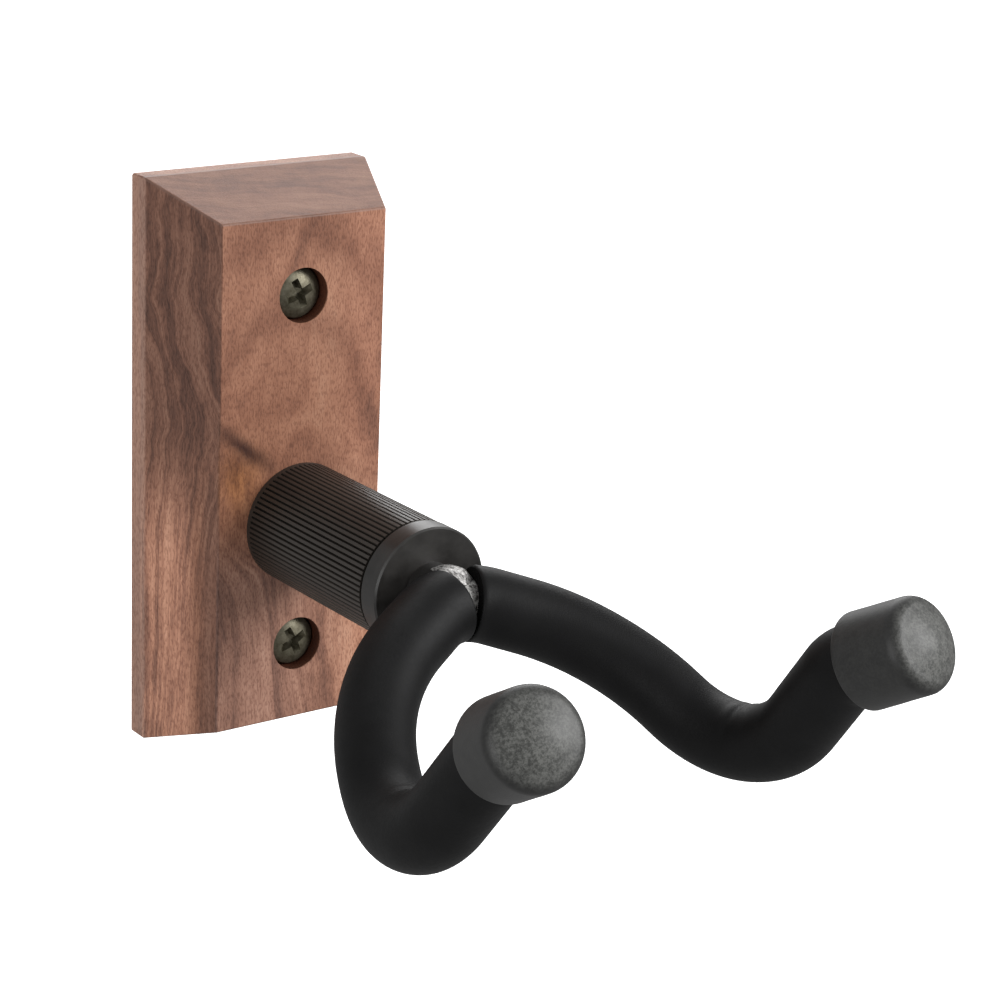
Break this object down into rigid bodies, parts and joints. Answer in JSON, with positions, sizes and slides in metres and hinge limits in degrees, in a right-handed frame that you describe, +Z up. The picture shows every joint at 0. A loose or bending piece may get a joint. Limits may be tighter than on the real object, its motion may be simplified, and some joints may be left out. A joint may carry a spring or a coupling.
{
  "type": "wall guitar hanger",
  "caption": "Wall hanger for a guitar: bevelled walnut block, ribbed barrel and a free-turning two-armed yoke in black foam with rubber end caps.",
  "frame": {"origin": "centre of the block's back face, which lies on the wall", "axes": "+Y into the wall, -Y into the room, +Z up, +X to the right seen from the room; the yoke turns about an axis along Y, 9 mm below the origin"},
  "size_m": [0.0872, 0.1714, 0.103],
  "materials": {
    "walnut": "oiled satin",
    "bronzed_steel": "satin, dark bronze",
    "black_steel": "satin black",
    "bare_steel": "bare, dull",
    "weld_metal": "rough, as welded",
    "zinc_steel": "zinc plated",
    "spring_steel": "dark, satin",
    "black_nylon": "matt",
    "white_nylon": "matt",
    "black_foam": "matt, closed-cell foam",
    "grey_rubber": "matt, fine grain"
  },
  "bodies": {
    "base": {"wood_block": "walnut", "wall_screw_upper": "bronzed_steel", "wall_screw_lower": "bronzed_steel", "hub_barrel": "black_steel", "rear_bush": "black_nylon", "front_bush": "black_nylon", "thrust_washer": "black_nylon", "rear_washer": "zinc_steel", "disc_spring": "spring_steel", "nut_washer": "zinc_steel"},
    "yoke": {"lock_nut": "zinc_steel", "lock_nut_insert": "white_nylon", "spindle": "bare_steel", "swivel_head": "black_steel", "yoke_rod": "bare_steel", "weld_beads": "weld_metal", "foam_sleeve_left": "black_foam", "foam_sleeve_right": "black_foam", "end_cap_left": "grey_rubber", "end_cap_right": "grey_rubber"}
  },
  "joints": [
    {"name": "yoke_swivel", "type": "hinge", "parent": "base", "child": "yoke", "pos_m": [0, -0.0585, -0.009], "axis": [0, 1, 0], "continuous": true}
  ]
}
